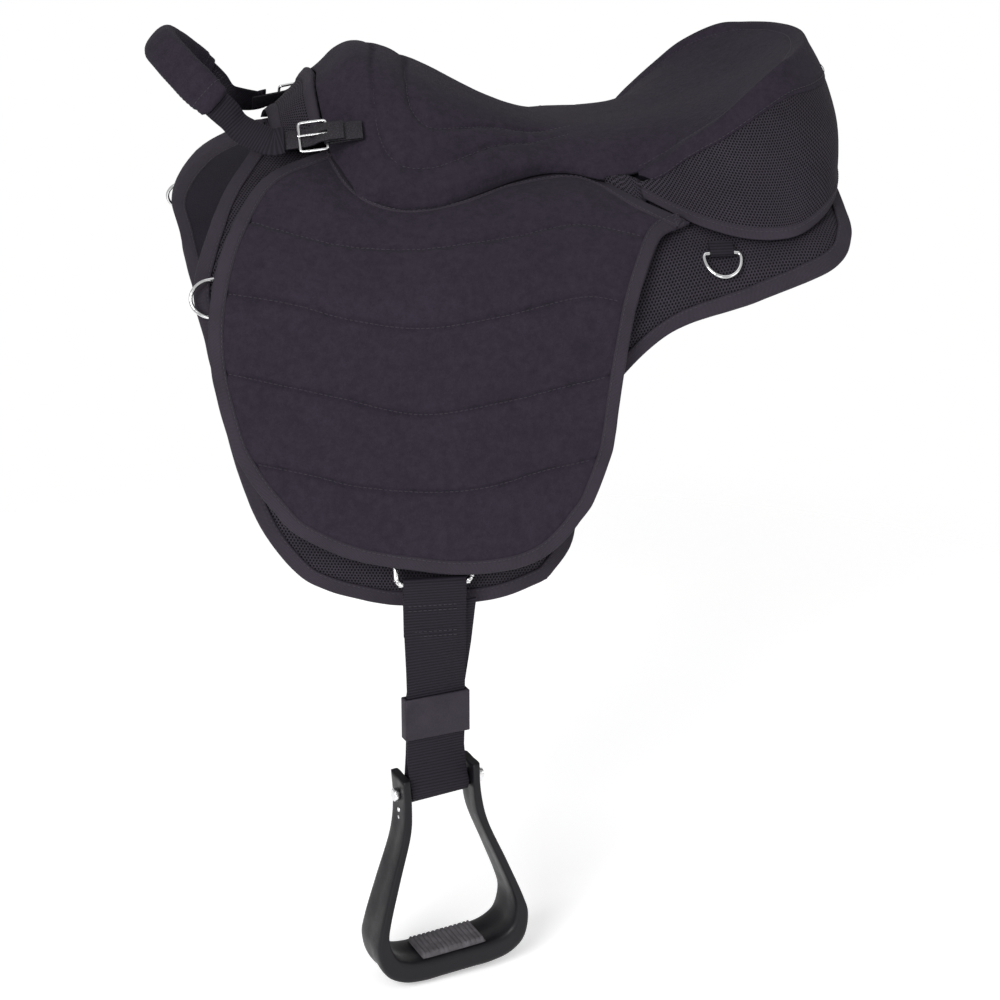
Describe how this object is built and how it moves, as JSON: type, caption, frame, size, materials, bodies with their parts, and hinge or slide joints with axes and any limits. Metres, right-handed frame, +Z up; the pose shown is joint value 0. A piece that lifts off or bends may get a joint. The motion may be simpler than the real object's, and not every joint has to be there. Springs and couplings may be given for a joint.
{
  "type": "treeless saddle",
  "caption": "Padded saddle without a rigid tree: raised pommel and cantle, quilted flaps over a bound mesh panel, a grab handle, rings, and one hanging stirrup",
  "frame": {"origin": "on the middle plane, on the back that the saddle lies on, under the lowest part of the seat", "axes": "+Z up, -X to the pommel at the front, -Y to the near side with the stirrup"},
  "size_m": [0.5875, 0.5293, 0.745],
  "materials": {
    "suede": "black brushed suede fabric",
    "mesh_fabric": "black spacer mesh over felt",
    "lining": "smooth dark lining",
    "foam": "grey foam",
    "tape": "woven binding tape",
    "webbing": "flat black webbing",
    "strap": "coated black webbing",
    "chrome": "polished plated steel",
    "plastic": "satin black moulded plastic",
    "rubber": "matt black rubber"
  },
  "bodies": {
    "saddle": {"panel_near": "mesh_fabric", "panel_far": "mesh_fabric", "panel_binding_near": "tape", "panel_binding_far": "tape", "stirrup_hanger_near": "webbing", "stirrup_hanger_far": "webbing", "girth_billet_front_near": "webbing", "girth_billet_front_far": "webbing", "girth_billet_rear_near": "webbing", "girth_billet_rear_far": "webbing", "flap_yoke_near": "suede", "flap_yoke_far": "suede", "yoke_binding_front_near": "tape", "yoke_binding_front_far": "tape", "yoke_binding_rear_near": "tape", "yoke_binding_rear_far": "tape", "dee_tab_front_near": "webbing", "dee_tab_front_far": "webbing", "dee_tab_rear_near": "webbing", "dee_tab_rear_far": "webbing", "handle_billet_near": "strap", "handle_billet_far": "strap", "buckle_chape_near": "strap", "buckle_chape_far": "strap", "buckle_front_near": "chrome", "buckle_front_far": "chrome", "spine_strip": "webbing", "seat_base": "lining", "pommel_core": "foam", "seat_foam": "foam", "cantle_core": "foam", "seat_cover": "suede", "cantle_band": "suede", "cantle_cover": "mesh_fabric", "cantle_binding": "tape", "pommel_collar": "mesh_fabric", "rear_strap": "strap"},
    "near_flap": {"flap_near": "suede", "flap_binding_near": "tape"},
    "near_front_dee": {"dee_front_near": "chrome"},
    "near_rear_dee": {"dee_rear_near": "chrome"},
    "near_ring": {"stirrup_ring_near": "chrome"},
    "near_pin": {"pin_front_near": "chrome"},
    "far_flap": {"flap_far": "suede", "flap_binding_far": "tape"},
    "far_front_dee": {"dee_front_far": "chrome"},
    "far_rear_dee": {"dee_rear_far": "chrome"},
    "far_ring": {"stirrup_ring_far": "chrome"},
    "far_pin": {"pin_front_far": "chrome"},
    "strap": {"stirrup_strap": "webbing"},
    "keeper": {"strap_keeper": "plastic"},
    "stirrup": {"stirrup_frame": "plastic", "tread_pad": "rubber", "stirrup_bolt": "chrome", "stirrup_nut": "chrome", "bolt_sleeve": "plastic"},
    "handle": {"handle_webbing": "webbing", "handle_grip": "suede"},
    "rear_buckle": {"buckle_rear": "chrome"},
    "rear_pin": {"pin_rear": "chrome"}
  },
  "joints": [
    {"name": "near_flap_lift", "type": "hinge", "parent": "saddle", "child": "near_flap", "pos_m": [-0.135, -0.21076, -0.07493], "axis": [-1, 0, 0], "range_deg": [0, 75]},
    {"name": "near_front_dee_swing", "type": "hinge", "parent": "saddle", "child": "near_front_dee", "pos_m": [-0.291, -0.17883, -0.05483], "axis": [0, 0.4036, 0.9149], "range_deg": [0, 20]},
    {"name": "near_rear_dee_swing", "type": "hinge", "parent": "saddle", "child": "near_rear_dee", "pos_m": [0.106, -0.18286, -0.03555], "axis": [-1, 0, 0], "range_deg": [0, 110]},
    {"name": "near_ring_swing", "type": "hinge", "parent": "saddle", "child": "near_ring", "pos_m": [-0.135, -0.22194, -0.24193], "axis": [-1, 0, 0], "range_deg": [-4, 2]},
    {"name": "near_pin_lift", "type": "hinge", "parent": "saddle", "child": "near_pin", "pos_m": [-0.196, -0.093, 0.052], "axis": [0, 0.669, 0.7433], "range_deg": [0, 30]},
    {"name": "far_flap_lift", "type": "hinge", "parent": "saddle", "child": "far_flap", "pos_m": [-0.135, 0.21076, -0.07493], "axis": [1, 0, 0], "range_deg": [0, 75]},
    {"name": "far_front_dee_swing", "type": "hinge", "parent": "saddle", "child": "far_front_dee", "pos_m": [-0.291, 0.17883, -0.05483], "axis": [0, 0.4036, -0.9149], "range_deg": [0, 20]},
    {"name": "far_rear_dee_swing", "type": "hinge", "parent": "saddle", "child": "far_rear_dee", "pos_m": [0.106, 0.18286, -0.03555], "axis": [1, 0, 0], "range_deg": [0, 110]},
    {"name": "far_ring_swing", "type": "hinge", "parent": "saddle", "child": "far_ring", "pos_m": [-0.135, 0.22194, -0.24193], "axis": [1, 0, 0], "range_deg": [0, 20]},
    {"name": "far_pin_lift", "type": "hinge", "parent": "saddle", "child": "far_pin", "pos_m": [-0.196, 0.093, 0.052], "axis": [0, 0.669, -0.7433], "range_deg": [0, 30]},
    {"name": "strap_swing", "type": "hinge", "parent": "near_ring", "child": "strap", "pos_m": [-0.135, -0.24133, -0.27692], "axis": [-1, 0, 0], "range_deg": [0, 70]},
    {"name": "keeper_slide", "type": "slide", "parent": "strap", "child": "keeper", "axis": [0.0505, 0.0135, -0.9986], "range_m": [0, 0.005]},
    {"name": "stirrup_swing", "type": "hinge", "parent": "strap", "child": "stirrup", "pos_m": [-0.135, -0.24133, -0.45292], "axis": [0.9646, 0.2585, 0.0523], "range_deg": [-50, 50]},
    {"name": "handle_fold", "type": "hinge", "parent": "saddle", "child": "handle", "pos_m": [-0.2285, 0, 0.0455], "axis": [0, 1, 0], "range_deg": [0, 20]},
    {"name": "rear_buckle_swing", "type": "hinge", "parent": "saddle", "child": "rear_buckle", "pos_m": [0.252, 0, -0.015], "axis": [0, -1, 0], "range_deg": [-10, 90]},
    {"name": "rear_pin_lift", "type": "hinge", "parent": "rear_buckle", "child": "rear_pin", "pos_m": [0.252, 0, -0.015], "axis": [0, -1, 0], "range_deg": [0, 30]}
  ]
}
